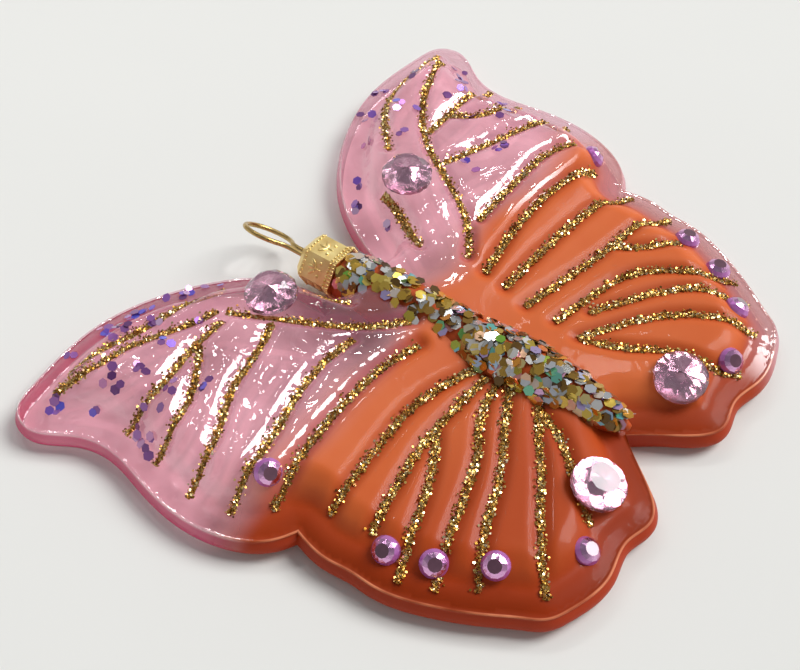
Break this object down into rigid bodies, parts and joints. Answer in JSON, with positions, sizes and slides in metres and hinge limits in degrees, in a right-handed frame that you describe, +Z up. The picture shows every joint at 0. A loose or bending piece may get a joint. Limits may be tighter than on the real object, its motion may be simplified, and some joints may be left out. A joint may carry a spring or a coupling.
{
  "type": "butterfly ornament",
  "caption": "Hollow blown glass butterfly with a domed body, spread wings, glued gems and glitter veins, a turning metal neck cap and a sliding wire loop to hang it by.",
  "frame": {"origin": "centre of the overall outline on the flat underside", "axes": "+Z up from the underside, +Y towards the neck and hanger, +X towards the right wing, seen from above with the neck away from the viewer"},
  "size_m": [0.128, 0.1047, 0.0142],
  "materials": {
    "blown_glass": "clear pink to milky orange lacquered glass",
    "cap_metal": "stamped gold-coloured sheet",
    "hanger_metal": "bright drawn wire",
    "large_gem": "faceted, silvered back",
    "small_gem": "faceted, silvered back",
    "gold_glitter": "glitter in clear glue",
    "holographic_sequin": "holographic film",
    "purple_confetti": "iridescent film"
  },
  "bodies": {
    "glass": {"body_sequins": "holographic_sequin", "glass_shell": "blown_glass", "left_confetti": "purple_confetti", "left_fore_large_gem": "large_gem", "left_fore_small_gem": "small_gem", "left_fore_vein_1": "gold_glitter", "left_fore_vein_2": "gold_glitter", "left_fore_vein_3": "gold_glitter", "left_fore_vein_4": "gold_glitter", "left_fore_vein_5": "gold_glitter", "left_fore_vein_cross": "gold_glitter", "left_fore_vein_edge": "gold_glitter", "left_fore_vein_root": "gold_glitter", "left_hind_gem_1": "small_gem", "left_hind_gem_2": "small_gem", "left_hind_gem_3": "small_gem", "left_hind_gem_4": "small_gem", "left_hind_large_gem": "large_gem", "left_hind_vein_1": "gold_glitter", "left_hind_vein_2": "gold_glitter", "left_hind_vein_3": "gold_glitter", "left_hind_vein_4": "gold_glitter", "left_hind_vein_5": "gold_glitter", "right_confetti": "purple_confetti", "right_fore_large_gem": "large_gem", "right_fore_small_gem": "small_gem", "right_fore_vein_1": "gold_glitter", "right_fore_vein_2": "gold_glitter", "right_fore_vein_3": "gold_glitter", "right_fore_vein_4": "gold_glitter", "right_fore_vein_edge": "gold_glitter", "right_fore_vein_root": "gold_glitter", "right_hind_gem_1": "small_gem", "right_hind_gem_2": "small_gem", "right_hind_gem_3": "small_gem", "right_hind_gem_4": "small_gem", "right_hind_large_gem": "large_gem", "right_hind_vein_1": "gold_glitter", "right_hind_vein_2": "gold_glitter", "right_hind_vein_3": "gold_glitter", "right_hind_vein_4": "gold_glitter", "right_hind_vein_5": "gold_glitter"},
    "cap": {"neck_cap": "cap_metal"},
    "hanger": {"hanger_wire": "hanger_metal"}
  },
  "joints": [
    {"name": "cap_turn", "type": "hinge", "parent": "glass", "child": "cap", "pos_m": [-0.00391, 0.02546, 0.0072], "axis": [-0.0593, 0.9982, 0], "continuous": true},
    {"name": "hanger_slide", "type": "slide", "parent": "cap", "child": "hanger", "axis": [-0.0593, 0.9982, 0], "range_m": [-0.002, 0.002]}
  ]
}
